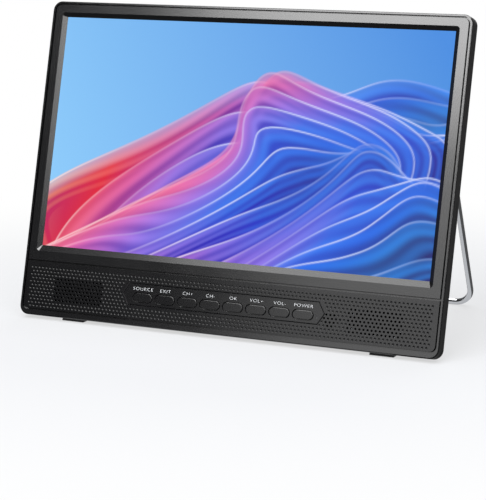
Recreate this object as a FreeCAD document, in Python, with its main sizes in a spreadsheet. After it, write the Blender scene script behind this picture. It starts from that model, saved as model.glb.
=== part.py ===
import FreeCAD, Part
import math
import os
import re

import Sketcher
from FreeCAD import Placement, Rotation, Vector

# A portable television that leans back on its own wire stand.
# Every piece is drawn with the set lying on its back: X runs to the right, Y up the face from the
# bottom edge, and Z out of the face. "Depth" is the distance behind the face, so depth d is Z = -d.
# stood_up, further down, then leans the set back and puts it on the floor.

DIMENSIONS = {
    # the outline of the set, and how it stands
    "set_width": 287.0,
    "set_height": 205.0,
    "corner_radius": 6.0,
    "lean": 14.69,
    "front_edge_rise": 2.83,
    # front housing: rim round the face, windows behind the face, total depth
    "housing_depth": 5.0,
    "rim_side": 1.6,
    "rim_top": 1.3,
    "rim_bottom": 3.4,
    "rim_round": 0.8,
    "window_width": 276.0,
    "window_bottom": 39.5,
    "window_top": 200.0,
    "lower_window_width": 275.0,
    "lower_window_bottom": 8.0,
    "lower_window_top": 33.0,
    # face plates: display bezel above, speaker panel below, with a fine groove round each
    "face_thickness": 2.0,
    "groove": 0.8,
    "split_height": 35.2,
    "plate_round": 0.3,
    "screen_width": 265.7,
    "screen_height": 149.46,
    "screen_middle": 120.3,
    "bevel_side": 2.9,
    "bevel_top": 2.8,
    "bevel_bottom": 3.9,
    "bevel_corner": 2.2,
    # keys
    "key_pitch": 15.73,
    "key_count": 8,
    "key_height_up": 18.2,
    "key_width": 13.5,
    "key_height": 5.5,
    "key_gap": 0.35,
    "key_proud": 0.2,
    "key_flange": 0.65,
    "key_flange_depth": 2.15,
    "key_stem_depth": 5.3,
    "key_stem_radius": 1.5,
    # grille holes, on a triangular grid
    "hole_pitch": 2.61,
    "row_pitch": 2.26,
    "hole_radius": 0.75,
    "top_row": 31.1,
    # key board behind the panel
    "key_board_left": -71.0,
    "key_board_right": 76.5,
    "key_board_bottom": 10.0,
    "key_board_top": 28.0,
    "key_board_depth": 9.0,
    "board_thickness": 1.2,
    "light_x": 64.4,
    "light_y": 17.1,
    # loudspeakers
    "speaker_x": 101.75,
    "speaker_y": 17.55,
    "speaker_depth": 5.0,
    "speaker_plate_width": 50.0,
    "speaker_plate_height": 20.0,
    "speaker_screw_x": 22.5,
    # display stack
    "cell_width": 273.3,
    "cell_bottom": 40.6,
    "cell_top": 198.5,
    "cell_depth": 2.1,
    "cell_thickness": 1.4,
    "pan_width": 274.8,
    "pan_bottom": 39.6,
    "pan_top": 199.4,
    "pan_front": 3.55,
    "pan_back": 6.8,
    "pan_wall": 0.5,
    # rear cover
    "parting_gap": 0.3,
    "edge_depth": 9.0,
    "hump_start": 18.0,
    "hump_depth": 38.0,
    "hump_width": 254.0,
    "hump_bottom": 10.0,
    "hump_top": 190.0,
    "hump_corner": 10.0,
    "hump_round": 3.0,
    "wall": 2.0,
    # wire stand
    "wire_radius": 2.0,
    "leg_x": 112.0,
    "pivot_height": 178.8,
    "pivot_depth": 35.0,
    "leg_length": 182.4,
    "foot_bend": 12.0,
    "pin_bend": 4.0,
    "pin_end": 98.0,
    "pin_clearance": 0.06,
    "channel_width": 5.4,
    "channel_depth": 5.5,
    # screws that hold the rear cover, and rubber feet
    "cover_screw_y": 36.2,
    "cover_screw_inner": 34.0,
    "cover_screw_outer": 98.0,
    "cover_screw_radius": 1.3,
    "foot_inner": 98.5,
    "foot_length": 15.5,
    "foot_front": 5.6,
    "foot_back": 12.0,
    # main board and sockets
    "main_board_left": -122.0,
    "main_board_right": -30.0,
    "main_board_bottom": 52.0,
    "main_board_top": 160.0,
    "main_board_depth": 20.0,
    "main_board_thickness": 1.6,
    "socket_depth": 25.6,
    "jack_radius": 1.8,
    # battery cells
    "cell_radius": 9.2,
    "battery_length": 65.0,
    "battery_pitch": 19.0,
    "battery_x": 18.0,
    "battery_y": 75.0,
    "battery_depth": 25.3,
}

document = FreeCAD.newDocument("PortableTelevision")
sheet = document.addObject("Spreadsheet::Sheet", "Size")
for row, (alias, number) in enumerate(DIMENSIONS.items(), start=1):
    sheet.set(f"A{row}", alias)
    sheet.set(f"B{row}", str(number))
    sheet.setAlias(f"B{row}", alias)
document.recompute()

finished = []


# ---- how a size is written, read and bound -------------------------------------------------


def bound(text):
    """A formula over the sheet's names, as an expression that an object can hold."""
    return re.sub(
        r"[a-z_]+", lambda word: "Size." + word[0] if word[0] in DIMENSIONS else word[0], str(text)
    )


def number(text):
    """What such a formula is worth now."""
    return float(sheet.evalExpression(bound(text)))


def bind(sketch, index, name, text):
    """Names a sketch's constraint and binds it to the sheet."""
    sketch.renameConstraint(index, name)
    sketch.setExpression("Constraints." + name, bound(text))


# ---- bodies, sketches and features ---------------------------------------------------------


def new_body(label):
    body = document.addObject("PartDesign::Body", label)
    body.Label = label
    return body


def new_sketch(body, name, x=0, y=0, depth=0, role="XY_Plane"):
    """A sketch on one of the body's own planes, moved to (x, y) and to the given depth.

    On YZ_Plane, x and y run along Y and Z, and the negative of depth runs along X.
    """
    sketch = body.newObject("Sketcher::SketchObject", name)
    plane = next(p for p in body.Origin.OriginFeatures if p.Role == role)
    sketch.AttachmentSupport = (plane, [""])
    sketch.MapMode = "FlatFace"
    sketch.setExpression("AttachmentOffset.Base.x", bound(x))
    sketch.setExpression("AttachmentOffset.Base.y", bound(y))
    sketch.setExpression("AttachmentOffset.Base.z", bound(f"-({depth})"))
    return sketch


def rounded_rectangle(sketch, width, height, top_radius, bottom_radius=None):
    """A rectangle centred on the sketch's origin, with one radius above and one below."""
    bottom_radius = top_radius if bottom_radius is None else bottom_radius
    w, h = number(width) / 2, number(height) / 2
    top, bottom = number(top_radius), number(bottom_radius)
    corners = [(w, h, top, 0), (-w, h, top, 90), (-w, -h, bottom, 180), (w, -h, bottom, 270)]
    for corner_x, corner_y, radius, turn in corners:
        middle = Vector(
            corner_x - math.copysign(radius, corner_x), corner_y - math.copysign(radius, corner_y), 0
        )
        circle = Part.Circle(middle, Vector(0, 0, 1), radius)
        sketch.addGeometry(Part.ArcOfCircle(circle, math.radians(turn), math.radians(turn + 90)), False)
    for first in range(4):
        start = sketch.Geometry[first].EndPoint
        end = sketch.Geometry[(first + 1) % 4].StartPoint
        sketch.addGeometry(Part.LineSegment(start, end), False)
    for first in range(4):
        line = 4 + first
        sketch.addConstraint(Sketcher.Constraint("Tangent", first, 2, line, 1))
        sketch.addConstraint(Sketcher.Constraint("Tangent", line, 2, (first + 1) % 4, 1))
        sketch.addConstraint(Sketcher.Constraint("Horizontal" if first % 2 == 0 else "Vertical", line))
    sketch.addConstraint(Sketcher.Constraint("Equal", 0, 1))
    sketch.addConstraint(Sketcher.Constraint("Equal", 2, 3))
    upper = sketch.addConstraint(Sketcher.Constraint("Radius", 0, top))
    bind(sketch, upper, "top_radius", top_radius)
    lower = sketch.addConstraint(Sketcher.Constraint("Radius", 2, bottom))
    bind(sketch, lower, "bottom_radius", bottom_radius)
    for name, kind, point, reach, formula in (
        ("right", "DistanceX", (7, 1), w, width),
        ("top", "DistanceY", (4, 1), h, height),
    ):
        index = sketch.addConstraint(Sketcher.Constraint(kind, -1, 1, *point, reach))
        bind(sketch, index, name, f"({formula}) / 2")
    for name, kind, point, reach, formula in (
        ("left", "DistanceX", (5, 1), w, width),
        ("bottom", "DistanceY", (6, 1), h, height),
    ):
        index = sketch.addConstraint(Sketcher.Constraint(kind, *point, -1, 1, reach))
        bind(sketch, index, name, f"({formula}) / 2")
    return sketch


def stadium(sketch, width, height):
    """Two half circles joined by straight sides, centred on the sketch's origin."""
    radius = number(height) / 2
    reach = number(width) / 2 - radius
    right = Part.Circle(Vector(reach, 0, 0), Vector(0, 0, 1), radius)
    left = Part.Circle(Vector(-reach, 0, 0), Vector(0, 0, 1), radius)
    quarter = math.pi / 2
    sketch.addGeometry(Part.ArcOfCircle(right, -quarter, quarter), False)
    sketch.addGeometry(Part.LineSegment(Vector(reach, radius, 0), Vector(-reach, radius, 0)), False)
    sketch.addGeometry(Part.ArcOfCircle(left, quarter, 3 * quarter), False)
    sketch.addGeometry(Part.LineSegment(Vector(-reach, -radius, 0), Vector(reach, -radius, 0)), False)
    for first in range(4):
        sketch.addConstraint(Sketcher.Constraint("Tangent", first, 2, (first + 1) % 4, 1))
    sketch.addConstraint(Sketcher.Constraint("Symmetric", 0, 3, 2, 3, -1, 1))
    sketch.addConstraint(Sketcher.Constraint("Horizontal", 1))
    end_radius = sketch.addConstraint(Sketcher.Constraint("Radius", 0, radius))
    bind(sketch, end_radius, "end_radius", f"({height}) / 2")
    index = sketch.addConstraint(Sketcher.Constraint("DistanceX", 2, 3, 0, 3, 2 * reach))
    bind(sketch, index, "between_ends", f"({width}) - ({height})")
    return sketch


def circles(sketch, places, radius):
    """Circles of one radius at the given places, each place a pair of formulas."""
    for x, y in places:
        middle = Vector(number(x), number(y), 0)
        circle = sketch.addGeometry(Part.Circle(middle, Vector(0, 0, 1), number(radius)), False)
        index = sketch.addConstraint(Sketcher.Constraint("Radius", circle, number(radius)))
        bind(sketch, index, f"radius_{circle}", radius)
        for kind, reach, formula, axis in (
            ("DistanceX", middle.x, x, -2),
            ("DistanceY", middle.y, y, -1),
        ):
            if abs(reach) < 1e-9:
                sketch.addConstraint(Sketcher.Constraint("PointOnObject", circle, 3, axis))
            elif reach > 0:
                index = sketch.addConstraint(Sketcher.Constraint(kind, -1, 1, circle, 3, reach))
                bind(sketch, index, f"{kind}_{circle}", formula)
            else:
                index = sketch.addConstraint(Sketcher.Constraint(kind, circle, 3, -1, 1, -reach))
                bind(sketch, index, f"{kind}_{circle}", f"-({formula})")
    return sketch


def polygon(sketch, points):
    """A closed outline through the given points, each coordinate a formula."""
    corners = [Vector(number(x), number(y), 0) for x, y in points]
    count = len(corners)
    for i in range(count):
        sketch.addGeometry(Part.LineSegment(corners[i], corners[(i + 1) % count]), False)
    for i in range(count):
        sketch.addConstraint(Sketcher.Constraint("Coincident", i, 2, (i + 1) % count, 1))
    for i, (x, y) in enumerate(points):
        for kind, reach, formula, axis in (
            ("DistanceX", corners[i].x, x, -2),
            ("DistanceY", corners[i].y, y, -1),
        ):
            if abs(reach) < 1e-9:
                sketch.addConstraint(Sketcher.Constraint("PointOnObject", i, 1, axis))
            elif reach > 0:
                index = sketch.addConstraint(Sketcher.Constraint(kind, -1, 1, i, 1, reach))
                bind(sketch, index, f"{kind}_{i}", formula)
            else:
                index = sketch.addConstraint(Sketcher.Constraint(kind, i, 1, -1, 1, -reach))
                bind(sketch, index, f"{kind}_{i}", f"-({formula})")
    return sketch


def feature(body, kind, name, sketch, length, reverse=False):
    made = body.newObject("PartDesign::" + kind, name)
    made.Profile = sketch
    made.setExpression("Length", bound(length))
    made.Reversed = reverse
    sketch.Visibility = False
    document.recompute()
    return made


def pad(body, name, sketch, length):
    """Adds material from the sketch's depth towards greater depth."""
    return feature(body, "Pad", name, sketch, length, reverse=True)


def pocket(body, name, sketch, length):
    """Takes material away from the sketch's depth towards greater depth."""
    before = body.Shape.Volume
    made = feature(body, "Pocket", name, sketch, length)
    if made.Shape.Volume >= before - 1e-6:
        raise RuntimeError(f"{body.Label}: {name} cuts nothing")
    return made


def loft(body, kind, name, first, second):
    made = body.newObject("PartDesign::" + kind, name)
    made.Profile = first
    made.Sections = [second]
    made.Ruled = True
    document.recompute()
    return made


def round_over(body, name, radius, depth):
    """Rounds every edge of the body that lies wholly at one depth."""
    base = body.Tip
    level = -number(depth)
    edges = []
    for index, edge in enumerate(base.Shape.Edges, start=1):
        box = edge.BoundBox
        if abs(box.ZMin - level) < 1e-4 and abs(box.ZMax - level) < 1e-4:
            edges.append(f"Edge{index}")
    made = body.newObject("PartDesign::Fillet", name)
    made.Base = (base, edges)
    made.setExpression("Radius", bound(radius))
    document.recompute()
    return made


# ---- simple solids and their booleans ------------------------------------------------------


def block(name, left, right, bottom, top, front, back):
    """A box between two X, two Y and two depths."""
    box = document.addObject("Part::Box", name)
    box.setExpression("Length", bound(f"({right}) - ({left})"))
    box.setExpression("Width", bound(f"({top}) - ({bottom})"))
    box.setExpression("Height", bound(f"({back}) - ({front})"))
    box.Placement.Base = Vector(number(left), number(bottom), -number(back))
    return box


def rod(name, x, y, front, back, radius):
    """A cylinder between two depths, along the depth."""
    made = document.addObject("Part::Cylinder", name)
    made.setExpression("Radius", bound(radius))
    made.setExpression("Height", bound(f"({back}) - ({front})"))
    made.Placement.Base = Vector(number(x), number(y), -number(back))
    return made


def crosswise_rod(name, left, right, y, depth, radius):
    """A cylinder along X, between two X."""
    made = document.addObject("Part::Cylinder", name)
    made.setExpression("Radius", bound(radius))
    made.setExpression("Height", bound(f"({right}) - ({left})"))
    start = Vector(number(left), number(y), -number(depth))
    made.Placement = Placement(start, Rotation(Vector(0, 1, 0), 90))
    return made


def together(kind, name, shapes):
    made = document.addObject("Part::" + kind, name)
    if kind == "Compound":
        made.Links = shapes
    else:
        made.Shapes = shapes
    document.recompute()
    return made


def fused(name, shapes):
    return together("MultiFuse", name, shapes)


def cut(name, base, tool):
    made = document.addObject("Part::Cut", name)
    made.Base = base
    made.Tool = tool
    document.recompute()
    if made.Shape.Volume >= base.Shape.Volume - 1e-6:
        raise RuntimeError(f"{name} cuts nothing")
    return made


def screws(name, places, head_depth, tip_depth, head_radius, head_height, shank_radius):
    """A group of pan-head screws, driven from the back: each has its head behind head_depth."""
    made = []
    for count, (x, y) in enumerate(places):
        head = rod(
            f"{name}_head_{count}", x, y, head_depth, f"{head_depth} + {head_height}", head_radius
        )
        shank = rod(f"{name}_shank_{count}", x, y, tip_depth, head_depth, shank_radius)
        made.append(fused(f"{name}_{count}", [head, shank]))
    return together("Compound", name, made)


# ---- where the pieces stand ----------------------------------------------------------------

lean = math.radians(number("lean"))


def leaned(y, depth):
    """Where a point of the upright set lands: (Y, Z) once it leans back, before it is centred."""
    forward = y * math.sin(lean) + depth * math.cos(lean)
    up = y * math.cos(lean) - depth * math.sin(lean) + number("front_edge_rise")
    return forward, up


pivot_back, pivot_up = leaned(number("pivot_height"), number("pivot_depth"))
leg_angle = math.acos((pivot_up - number("wire_radius")) / number("leg_length"))
rearmost = pivot_back + number("leg_length") * math.sin(leg_angle) + number("wire_radius")
stood_up = Placement(
    Vector(0, -rearmost / 2, number("front_edge_rise")),
    Rotation(Vector(1, 0, 0), 90 - number("lean")),
)


def finish(piece, label, own_place=None):
    """Gives the piece its name and stands it up with the rest of the set."""
    piece.Label = label
    place = piece.Placement if own_place is None else own_place
    piece.Placement = stood_up.multiply(place)
    finished.append(piece)
    return piece


# ---- front housing -------------------------------------------------------------------------

housing = new_body("front_housing")
outline = new_sketch(housing, "HousingOutline", y="set_height / 2")
rounded_rectangle(outline, "set_width", "set_height", "corner_radius")
pad(housing, "HousingBlock", outline, "housing_depth")
round_over(housing, "RimRound", "rim_round", "0")
recess = new_sketch(housing, "FaceRecess", y="(set_height - rim_top + rim_bottom) / 2")
rounded_rectangle(
    recess, "set_width - 2 * rim_side", "set_height - rim_top - rim_bottom", "corner_radius - rim_side"
)
pocket(housing, "FaceRecessCut", recess, "face_thickness")
window = new_sketch(
    housing, "DisplayWindow", y="(window_top + window_bottom) / 2", depth="face_thickness"
)
rounded_rectangle(window, "window_width", "window_top - window_bottom", "1")
pocket(housing, "DisplayWindowCut", window, "housing_depth")
lower = new_sketch(
    housing, "LowerWindow", y="(lower_window_top + lower_window_bottom) / 2", depth="face_thickness"
)
rounded_rectangle(lower, "lower_window_width", "lower_window_top - lower_window_bottom", "1")
pocket(housing, "LowerWindowCut", lower, "housing_depth")
cover_screw_places = [
    (f"{side} * cover_screw_{which}", "cover_screw_y") for side in (-1, 1) for which in (
        "inner", "outer"
    )
]
bosses = circles(new_sketch(housing, "CoverBosses", depth="housing_depth"), cover_screw_places, "3")
pad(housing, "CoverBossPads", bosses, "9")
holes = circles(
    new_sketch(housing, "CoverBossHoles", depth="housing_depth + 1"), cover_screw_places, "cover_screw_radius"
)
pocket(housing, "CoverBossCuts", holes, "9")
bracket_places = [(f"{side} * 139.7", height) for side in (-1, 1) for height in ("60", "180")]
holes = circles(new_sketch(housing, "BracketHoles", depth="face_thickness + 0.8"), bracket_places, "0.7")
pocket(housing, "BracketHoleCuts", holes, "3")
finish(housing, "front_housing")

# ---- display bezel: a gloss frame whose inner bevel runs down to the display -----------------

PLATE_WIDTH = "set_width - 2 * rim_side - 2 * groove"
PLATE_CORNER = "corner_radius - rim_side - groove"
bezel_top = "(set_height - rim_top - groove)"
bezel_bottom = "(split_height + groove / 2)"
bezel = new_body("display_bezel")
outline = new_sketch(bezel, "BezelOutline", y=f"({bezel_top} + {bezel_bottom}) / 2")
rounded_rectangle(outline, PLATE_WIDTH, f"{bezel_top} - {bezel_bottom}", PLATE_CORNER, "0.5")
pad(bezel, "BezelPlate", outline, "face_thickness")
round_over(bezel, "BezelEdge", "plate_round", "0")
mouth = new_sketch(bezel, "BevelMouth", y="screen_middle + (bevel_top - bevel_bottom) / 2")
rounded_rectangle(
    mouth, "screen_width + 2 * bevel_side", "screen_height + bevel_top + bevel_bottom", "bevel_corner"
)
foot = new_sketch(bezel, "BevelFoot", y="screen_middle", depth="face_thickness")
rounded_rectangle(foot, "screen_width", "screen_height", "0.2")
loft(bezel, "SubtractiveLoft", "BevelCut", mouth, foot)
finish(bezel, "display_bezel")

# ---- speaker panel: lower strip of the face, with key openings, grilles and bosses behind ----

panel_top = "(split_height - groove / 2)"
panel_bottom = "(rim_bottom + groove)"
first_key = "(-(key_count - 1) / 2 * key_pitch)"
panel = new_body("speaker_panel_blank")
outline = new_sketch(panel, "PanelOutline", y=f"({panel_top} + {panel_bottom}) / 2")
rounded_rectangle(outline, PLATE_WIDTH, f"{panel_top} - {panel_bottom}", "0.5", PLATE_CORNER)
pad(panel, "PanelPlate", outline, "face_thickness")
round_over(panel, "PanelEdge", "plate_round", "0")
opening = new_sketch(panel, "KeyOpening", x=first_key, y="key_height_up")
stadium(opening, "key_width + 2 * key_gap", "key_height + 2 * key_gap")
first_opening = pocket(panel, "KeyOpeningCut", opening, "face_thickness")
row_of_keys = panel.newObject("PartDesign::LinearPattern", "KeyOpenings")
row_of_keys.Originals = [first_opening]
row_of_keys.Direction = (opening, ["H_Axis"])
row_of_keys.setExpression("Length", bound("(key_count - 1) * key_pitch"))
row_of_keys.setExpression("Occurrences", bound("key_count"))
panel.Tip = row_of_keys
document.recompute()
key_board_screws = [("-67", "24.5"), ("0", "25.4"), ("67", "24.5")]
bosses = circles(new_sketch(panel, "KeyBoardBosses", depth="face_thickness"), key_board_screws, "2")
pad(panel, "KeyBoardBossPads", bosses, "key_board_depth - face_thickness")
holes = circles(new_sketch(panel, "KeyBoardBossHoles", depth="4"), key_board_screws, "0.9")
pocket(panel, "KeyBoardBossCuts", holes, "key_board_depth")
speaker_screws = [
    (f"{side} * speaker_x + {end} * speaker_screw_x", "speaker_y") for side in (-1, 1) for end in (-1, 1)
]
bosses = circles(new_sketch(panel, "SpeakerBosses", depth="face_thickness"), speaker_screws, "2")
pad(panel, "SpeakerBossPads", bosses, "speaker_depth - face_thickness")
holes = circles(new_sketch(panel, "SpeakerBossHoles", depth="1.6"), speaker_screws, "0.8")
pocket(panel, "SpeakerBossCuts", holes, "speaker_depth")


def grille_places():
    """Hole centres. Even rows are half a pitch off the middle, odd rows are on it."""
    places = []
    for row in range(3, 10):
        steps = [33 + k for k in range(13)] if row % 2 else [32.5 + k for k in range(14)]
        for step in steps:
            places += [(step, row), (-step, row)]
    for row, first, last in ((5, 27, 29), (6, 26.5, 30.5), (7, 27, 29), (8, 27.5, 28.5)):
        places += [(first + k, row) for k in range(int(last - first) + 1)]
    return places


through = []
for step, row in grille_places():
    across = step * number("hole_pitch")
    up = number("top_row") - row * number("row_pitch")
    place = Vector(across, up, -number("face_thickness"))
    through.append(Part.makeCylinder(number("hole_radius"), number("face_thickness"), place))
light_hole = Vector(number("light_x"), number("light_y"), -number("face_thickness"))
through.append(Part.makeCylinder(0.6, number("face_thickness"), light_hole))
grille_cutter = document.addObject("Part::Feature", "GrilleCutter")
grille_cutter.Shape = Part.makeCompound(through)
finish(cut("PanelWithGrilles", panel, grille_cutter), "speaker_panel")

# ---- keys: a stadium cap, a flange that stops it behind the panel, and a stem ----------------

KEYS = ("source", "exit", "channel_up", "channel_down", "ok", "volume_up", "volume_down", "power")
for place, name in enumerate(KEYS):
    x = f"{first_key} + {place} * key_pitch"
    key = new_body("key_" + name)
    cap = stadium(
        new_sketch(key, f"Cap_{name}", x, "key_height_up", "-key_proud"), "key_width", "key_height"
    )
    pad(key, f"CapPad_{name}", cap, "key_flange_depth + key_proud")
    round_over(key, f"CapEdge_{name}", "0.35", "-key_proud")
    flange = new_sketch(key, f"Flange_{name}", x, "key_height_up", "key_flange_depth")
    stadium(flange, "key_width + 2 * key_flange", "key_height + 2 * key_flange")
    pad(key, f"FlangePad_{name}", flange, "0.85")
    stem = new_sketch(key, f"Stem_{name}", x, "key_height_up", "key_flange_depth + 0.85")
    circles(stem, [("0", "0")], "key_stem_radius")
    pad(key, f"StemPad_{name}", stem, "key_stem_depth - key_flange_depth - 0.85")
    finish(key, "key_" + name)

# ---- key board, its switches, status light and infrared receiver -----------------------------

board = block(
    "KeyBoardPlate",
    "key_board_left",
    "key_board_right",
    "key_board_bottom",
    "key_board_top",
    "key_board_depth",
    "key_board_depth + board_thickness",
)
board_holes = [
    rod(f"KeyBoardHole_{i}", x, y, "8", "12", "1") for i, (x, y) in enumerate(key_board_screws)
]
finish(cut("KeyBoard", board, together("Compound", "KeyBoardHoles", board_holes)), "key_board")
switches = []
for place in range(len(KEYS)):
    x = f"({first_key} + {place} * key_pitch)"
    case = block(
        f"SwitchCase_{place}",
        f"{x} - 2.25",
        f"{x} + 2.25",
        "key_height_up - 2.25",
        "key_height_up + 2.25",
        "key_board_depth - 2.5",
        "key_board_depth",
    )
    plunger = rod(
        f"SwitchPlunger_{place}",
        x,
        "key_height_up",
        "key_board_depth - 3.1",
        "key_board_depth - 2.5",
        "1.1",
    )
    switches.append(fused(f"Switch_{place}", [case, plunger]))
finish(together("Compound", "Switches", switches), "tact_switches")
pipe_tip = rod("LightPipeTip", "light_x", "light_y", "0.1", "2.2", "0.55")
pipe_base = rod("LightPipeBase", "light_x", "light_y", "2.2", "key_board_depth - 0.6", "0.8")
finish(fused("LightPipe", [pipe_tip, pipe_base]), "status_light_pipe")
light = block(
    "StatusLight",
    "light_x - 0.8",
    "light_x + 0.8",
    "light_y - 0.5",
    "light_y + 0.5",
    "key_board_depth - 0.6",
    "key_board_depth",
)
finish(light, "status_light")
receiver_case = block("ReceiverCase", "70.6", "75.9", "13.2", "20", "5", "key_board_depth")
receiver_lens = document.addObject("Part::Sphere", "ReceiverLens")
receiver_lens.Radius = 2.2
receiver_lens.Placement = Placement(Vector(73.3, 16.8, -5.2), Rotation())
finish(fused("Receiver", [receiver_case, receiver_lens]), "infrared_receiver")
finish(
    screws(
        "KeyBoardScrews",
        key_board_screws,
        "key_board_depth + board_thickness",
        "4.5",
        "1.7",
        "1.2",
        "0.9",
    ),
    "key_board_screws",
)

# ---- loudspeakers ----------------------------------------------------------------------------

for side, sign in (("left", -1), ("right", 1)):
    x = f"{sign} * speaker_x"
    gasket = new_body("speaker_gasket_" + side)
    ring = stadium(new_sketch(gasket, f"Gasket_{side}", x, "speaker_y", "face_thickness"), "40", "18")
    pad(gasket, f"GasketPad_{side}", ring, "speaker_depth - face_thickness")
    bore = stadium(
        new_sketch(gasket, f"GasketBore_{side}", x, "speaker_y", "face_thickness"), "36.5", "15.5"
    )
    pocket(gasket, f"GasketCut_{side}", bore, "speaker_depth")
    finish(gasket, "speaker_gasket_" + side)

    basket = new_body("speaker_basket_" + side)
    plate = new_sketch(basket, f"BasketPlate_{side}", x, "speaker_y", "speaker_depth")
    rounded_rectangle(plate, "speaker_plate_width", "speaker_plate_height", "3")
    pad(basket, f"BasketPlatePad_{side}", plate, "1.2")
    bowl = stadium(
        new_sketch(basket, f"Bowl_{side}", x, "speaker_y", "speaker_depth + 1.2"), "37", "18.6"
    )
    pad(basket, f"BowlPad_{side}", bowl, "4.8")
    hollow = stadium(
        new_sketch(basket, f"Hollow_{side}", x, "speaker_y", "speaker_depth"), "34.6", "14.6"
    )
    pocket(basket, f"HollowCut_{side}", hollow, "5")
    ears = [(f"{end} * speaker_screw_x", "0") for end in (-1, 1)]
    holes = circles(new_sketch(basket, f"Ears_{side}", x, "speaker_y", "speaker_depth"), ears, "0.9")
    pocket(basket, f"EarCuts_{side}", holes, "2")
    finish(basket, "speaker_basket_" + side)

    cone = new_body("speaker_cone_" + side)
    rim = stadium(
        new_sketch(cone, f"ConeRim_{side}", x, "speaker_y", "speaker_depth + 0.2"), "34.2", "14.2"
    )
    base = stadium(
        new_sketch(cone, f"ConeBase_{side}", x, "speaker_y", "speaker_depth + 4.4"), "16", "8"
    )
    loft(cone, "AdditiveLoft", f"ConeOutside_{side}", rim, base)
    rim = stadium(
        new_sketch(cone, f"ConeMouth_{side}", x, "speaker_y", "speaker_depth + 0.2"), "33", "13"
    )
    base = stadium(
        new_sketch(cone, f"ConeFloor_{side}", x, "speaker_y", "speaker_depth + 3.8"), "15", "7"
    )
    loft(cone, "SubtractiveLoft", f"ConeInside_{side}", rim, base)
    finish(cone, "speaker_cone_" + side)

    magnet = rod(f"Magnet_{side}", x, "speaker_y", "speaker_depth + 6", "speaker_depth + 10", "6")
    finish(magnet, "speaker_magnet_" + side)
finish(
    screws("SpeakerScrews", speaker_screws, "speaker_depth + 1.2", "2.4", "1.6", "1.1", "0.8"),
    "speaker_screws",
)

# ---- display: cell, light guide, light strip and metal pan -----------------------------------

cell_back = "(cell_depth + cell_thickness)"
finish(
    block(
        "DisplayCell", "-cell_width / 2", "cell_width / 2", "cell_bottom", "cell_top", "cell_depth", cell_back
    ),
    "display_cell",
)
pan = new_body("display_pan")
outline = new_sketch(pan, "PanOutline", y="(pan_top + pan_bottom) / 2", depth="pan_front")
rounded_rectangle(outline, "pan_width", "pan_top - pan_bottom", "1")
pad(pan, "PanBlock", outline, "pan_back - pan_front")
inside = new_sketch(pan, "PanInside", y="(pan_top + pan_bottom) / 2", depth="pan_front")
rounded_rectangle(inside, "pan_width - 2 * pan_wall", "pan_top - pan_bottom - 2 * pan_wall", "0.5")
pocket(pan, "PanHollow", inside, "pan_back - pan_front - pan_wall - 0.1")
finish(pan, "display_pan")
finish(
    block(
        "LightGuide",
        "-135.9",
        "135.9",
        "pan_bottom + 3.2",
        "pan_top - 1",
        "pan_front + 0.1",
        "pan_back - 0.8",
    ),
    "light_guide",
)
finish(
    block(
        "LightStrip",
        "-130",
        "130",
        "pan_bottom + 0.8",
        "pan_bottom + 2.8",
        "pan_front + 0.2",
        "pan_back - 0.9",
    ),
    "light_strip",
)
brackets = []
for count, (x, y) in enumerate(bracket_places):
    side = -1 if x.startswith("-") else 1
    lip = block(
        f"BracketLip_{count}", "-7.5", "-0.2", f"{y} - 6", f"{y} + 6", "pan_back", "pan_back + 0.7"
    )
    web = block(
        f"BracketWeb_{count}", "-0.9", "-0.2", f"{y} - 6", f"{y} + 6", "housing_depth", "pan_back"
    )
    foot_back = "housing_depth + 0.7"
    foot = block(
        f"BracketFoot_{count}", "-0.9", "2.9", f"{y} - 6", f"{y} + 6", "housing_depth", foot_back
    )
    whole = fused(f"BracketWhole_{count}", [lip, web, foot])
    hole = rod(f"BracketHole_{count}", "1.3", y, "housing_depth - 1", "housing_depth + 2", "0.8")
    bracket = cut(f"Bracket_{count}", whole, hole)
    if side > 0:
        bracket.Placement.Base = Vector(138.4, 0, 0)
        brackets.append(bracket)
    else:
        mirrored = document.addObject("Part::Mirroring", f"BracketMirrored_{count}")
        mirrored.Source = bracket
        mirrored.Normal = Vector(1, 0, 0)
        mirrored.Placement.Base = Vector(-138.4, 0, 0)
        brackets.append(mirrored)
finish(together("Compound", "Brackets", brackets), "display_brackets")
bracket_screw_set = screws(
    "BracketScrews", bracket_places, "housing_depth + 0.7", "3.2", "1.3", "0.9", "0.7"
)
finish(bracket_screw_set, "bracket_screws")

# ---- rear cover ------------------------------------------------------------------------------

HUMP_HEIGHT = "(hump_top - hump_bottom)"
HUMP_MIDDLE = "(hump_top + hump_bottom) / 2"
cover_front = "(housing_depth + parting_gap)"
inner_back = "(hump_depth - wall)"
cover = new_body("rear_cover")
edge = new_sketch(cover, "EdgeOutline", y="set_height / 2", depth=cover_front)
rounded_rectangle(edge, "set_width", "set_height", "corner_radius")
pad(cover, "EdgeBand", edge, f"edge_depth - {cover_front}")
edge = new_sketch(cover, "SlopeStart", y="set_height / 2", depth="edge_depth")
rounded_rectangle(edge, "set_width", "set_height", "corner_radius")
top = new_sketch(cover, "SlopeEnd", y=HUMP_MIDDLE, depth="hump_start")
rounded_rectangle(top, "hump_width", HUMP_HEIGHT, "hump_corner")
loft(cover, "AdditiveLoft", "Slope", edge, top)
hump = new_sketch(cover, "HumpOutline", y=HUMP_MIDDLE, depth="hump_start")
rounded_rectangle(hump, "hump_width", HUMP_HEIGHT, "hump_corner")
pad(cover, "Hump", hump, "hump_depth - hump_start")
round_over(cover, "HumpRound", "hump_round", "hump_depth")

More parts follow.
